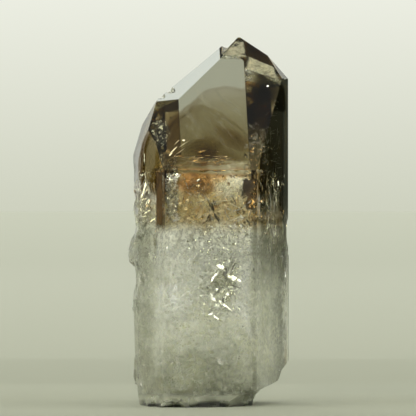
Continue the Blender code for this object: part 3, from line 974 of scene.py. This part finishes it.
for i, (name, row) in enumerate(fractures.items()):
    # a point is the middle plus each half side times its share, all moved by random parts of a facet
    patch = dict(zip(fractureKeys, row))
    random = np.random.default_rng(40 + i)
    rows, columns = patch["grid"]
    across, up = np.meshgrid(np.linspace(-1, 1, columns), np.linspace(-1, 1, rows))
    sideways = across + random.uniform(-0.8, 0.8, across.shape) / columns
    upwards = up + random.uniform(-0.8, 0.8, up.shape) / rows
    slants = np.radians(patch["slants"])
    ways = np.stack([np.cos(slants), np.sin(-yaw * pi / 180) * -np.cos(slants), np.sin(slants)], -1)
    sides = ways * np.array(patch["half"])[:, None]
    points = np.array(patch["centre"]) + sideways[..., None] * sides[0] + upwards[..., None] * sides[1]
    points[..., 1] += patch["crumple"] * random.uniform(-1, 1, across.shape)
    points[..., 1] += patch.get("lean", 0.0) * (points[..., 2] - patch["centre"][2])
    material, shader, w = newMaterial(name, Base_Color=colourOf(*patch["colour"]), Metallic=0.85,
                                      Roughness=0.18)
    place = w.place()
    grain = w.noise(place, 0.8 * mm, 4.0, 0.6, 0.5)
    cloud = w.noise(place, 3.5 * mm, 3.0, 0.5, 0.5)
    u, v, _ = w.parts(w.node("ShaderNodeTexCoord", {}, {}, "UV"))
    far = (u * u + v * v) ** 0.5 + (cloud - 0.5) * 1.4
    shown = far.rise(1.05, 0.45) * (grain * 0.5 + cloud * 0.5).rise(0.36, 0.56)
    join(shown * patch["alpha"], shader, "Alpha")
    piece = newObject(name, points.reshape(-1, 3) * mm, gridFaces(rows, columns, False), material,
                      False)
    writeUv(piece.data, across, up)
    quartzPiece(piece, crackGap)

# the star-shaped fracture in the front: flat splinters, each by x, height, half length, half width and
# slant, bright ones that mirror a soft box, grey ones and dark ones
splinters = {
    "starBright": [(2.2, 31.7, 2.0, 0.55, 48), (2.4, 33.3, 0.7, 0.45, 20), (5.5, 32.2, 0.8, 0.27, 100),
        (6.1, 30.5, 0.9, 0.38, -20), (6.9, 30.0, 0.7, 0.18, -20), (-0.5, 29.3, 1.0, 0.14, 62),
        (4.5, 26.5, 1.6, 0.65, 55), (0.6, 25.9, 1.1, 0.50, -50), (-1.4, 26.5, 0.9, 0.25, 30),
        (3.8, 23.9, 1.4, 0.30, -42), (2.1, 20.8, 1.1, 0.22, -38), (0.6, 22.2, 0.7, 0.25, 10),
        (-6.2, 31.0, 1.2, 0.22, 66), (0.1, 36.5, 0.8, 0.15, 60), (-2.1, 29.7, 0.6, 0.30, -40),
        (2.6, 30.3, 0.5, 0.25, 70)],
    "starGrey": [(1.3, 29.1, 1.6, 0.60, -50), (3.0, 28.7, 1.3, 0.65, 60), (4.9, 29.1, 1.4, 0.65, 20),
        (4.9, 33.8, 1.8, 0.32, 58), (-3.1, 35.2, 1.0, 0.20, -40), (1.4, 27.4, 0.9, 0.50, 10),
        (3.6, 30.6, 0.8, 0.40, 35)],
    "starDark": [(3.8, 32.0, 1.1, 0.36, 80), (-0.4, 28.4, 0.6, 0.35, 60), (6.5, 28.4, 1.2, 0.13, -15),
        (3.2, 25.3, 0.8, 0.16, 100), (5.6, 33.0, 1.0, 0.14, 55), (2.2, 28.0, 1.2, 0.12, -48),
        (8.0, 19.0, 0.18, 0.18, 0), (-2.6, 24.7, 3.4, 0.035, 1)],
    "goldCrests": [(2.3, 48.6, 2.4, 0.13, 4), (5.8, 47.7, 1.7, 0.12, -30), (1.9, 50.0, 1.6, 0.11, 28),
        (-4.6, 50.2, 1.5, 0.13, -36), (-5.6, 52.8, 1.3, 0.12, -68), (-1.6, 45.4, 1.4, 0.12, 40),
        (4.6, 50.8, 1.2, 0.13, 62), (6.4, 44.6, 1.6, 0.12, 14), (-3.8, 46.8, 1.0, 0.14, 20),
        (3.4, 44.0, 1.5, 0.11, -12)],
    "goldCracks": [(0.7, 47.3, 1.0, 0.20, -65), (1.2, 45.4, 0.8, 0.17, -50),
        (-1.0, 43.8, 1.2, 0.15, 35), (-0.3, 44.8, 0.7, 0.17, 60), (9.4, 43.8, 0.8, 0.15, -55),
        (8.0, 42.9, 0.7, 0.14, -40), (-6.4, 49.4, 0.7, 0.15, -50), (6.0, 48.9, 1.3, 0.11, -60)],
    # painted shade: dark marks drawn along the front face's right edge
    "edgePaintedShade": [(10.5, 32.4, 0.6, 0.13, 86), (10.6, 30.4, 0.4, 0.11, 78), (10.6, 27.6, 0.4, 0.09, 92),
        (10.5, 35.0, 0.4, 0.08, 95), (10.6, 24.0, 0.3, 0.06, 88)],
    "speck": [(12.2, 17.5, 0.32, 0.11, 82)],
    "glint": [(14.1, 76.2, 0.26, 0.22, 20)],
    "leftShards": [(-15.2, 51.1, 1.9, 0.24, 68), (-15.1, 58.6, 1.2, 0.12, 80),
        (-15.0, 45.0, 1.1, 0.14, -14), (-14.4, 48.0, 0.9, 0.12, 75), (-15.8, 48.6, 0.9, 0.14, 60),
        (-14.0, 46.2, 0.9, 0.14, 20), (-14.8, 55.0, 0.5, 0.08, 70)],
    "lowShard": [(-12.5, 44.6, 1.2, 0.2, 14), (-11.9, 44.0, 0.8, 0.12, -20)],
    "slantStreaks": [(-8.5, 60.3, 1.3, 0.10, 46), (-6.2, 61.9, 1.7, 0.06, 44),
        (-7.0, 59.9, 1.3, 0.07, 50), (-5.8, 63.9, 0.3, 0.20, 30), (-9.3, 59.0, 0.6, 0.12, 60),
        (-7.6, 62.6, 0.9, 0.05, 42)],
}
lookKeys = ("colour", "metallic", "roughness", "alpha", "depth", "facings")
splinterLooks = {
    "starBright": ((240, 239, 228), 1.0, 0.1, 0.92, 16.6),
    "starGrey": ((166, 168, 150), 0.0, 0.3, 0.75, 16.2),
    "starDark": ((70, 62, 42), 0.0, 0.3, 0.85, 16.8),
    "goldCrests": ((254, 246, 220), 0.0, 0.3, 0.7, 17.1),
    "goldCracks": ((52, 40, 20), 0.0, 0.4, 0.85, 17.2),
    # painted shade along the front face's right edge
    "edgePaintedShade": ((60, 58, 44), 0.0, 0.4, 0.8, 16.1),
    "leftShards": ((226, 222, 196), 1.0, 0.25, 0.5, 12.2, [sideLeft]),
    "lowShard": ((230, 224, 192), 1.0, 0.25, 0.6, 15.2, [sideLeft]),
    "speck": ((36, 36, 26), 0.0, 0.4, 0.95, 13.0),
    "glint": ((255, 255, 250), 1.0, 0.3, 1.0, -1.1, [tipLeft]),
    "slantStreaks": ((242, 228, 192), 1.0, 0.3, 0.8, 14.8, [tipLeft, tipRight]),
}
splinterScale = 1.3
for i, (name, rows) in enumerate(splinters.items()):
    look = dict(zip(lookKeys, splinterLooks[name]))
    material, shader, w = newMaterial(name, Base_Color=colourOf(*look["colour"]), Alpha=look["alpha"],
                                      Metallic=look["metallic"], Roughness=look["roughness"])
    rows = np.array(rows)
    slant = np.radians(rows[:, 4])
    random = np.random.default_rng(9 + i)
    deep = random.uniform(-0.4, 0.4, len(rows)) - look["depth"]
    centres = np.stack([rows[:, 0], deep, rows[:, 1]], -1)
    boxes = np.array(look.get("facings", [toLeftBox, toRightBox]))
    facing = boxes[np.arange(len(rows)) % len(boxes)] + 0.04 * random.normal(size=(len(rows), 3))
    along = np.stack([np.cos(slant), 0 * slant, np.sin(slant)], -1)
    flakes(name, centres, facing, splinterScale * rows[:, 2:4], material, 10 + i, along, bend=0.02,
           rings=3, spokes=8, jag=0.5)

# strewn just inside the upright faces: place and size ranges in mm, azimuths in degrees from the front
scatteredKeys = ("count", "heights", "insets", "sizes", "thin", "azimuths",
                 "spread", "along", "bend", "material", "seed")
scattered = {
    "rightHatch": (60, (46, 74), (0.15, 0.5), (0.8, 3.0), (0.010, 0.020), (50, 98), 0.02,
        (0.309, 0.951, 0.0), 0.0, hatch, 71),
    "rightGrain": (70, (44, 66), (0.3, 1.5), (0.8, 3.0), (0.010, 0.022), (50, 98), 0.02,
        (0.0, 0.0, 1.0), 0.0, hatch, 73),
    "goldFlakes": (150, (41, 55), (1.0, 5), (0.3, 1.3), (0.2, 0.7), (-50, 70), 0.5, None, 0.12,
        goldCrack, 61),
    "silverFlakes": (90, (38, 55), (0.9, 4), (0.3, 1.3), (0.2, 0.6), (0, 360), 0.5, None, 0.12,
        silverCrack, 63),
    "milkFlakes": (260, (4, 42), (0.8, 3.0), (0.4, 1.6), (0.1, 0.5), (0, 360), 0.35, None, 0.12,
        paleCrack, 65),
    "milkGlints": (30, (33, 42), (0.8, 2.0), (0.2, 0.6), (0.2, 0.6), (-50, 60), 0.2, None, 0.12,
        silverCrack, 67),
}
for name, row in scattered.items():
    group = dict(zip(scatteredKeys, row))
    centres, facing, half = scatter(group)
    flakes(name, centres, facing, half, group["material"], group["seed"] + 1, group["along"],
           group["bend"])
print("inclusions done")
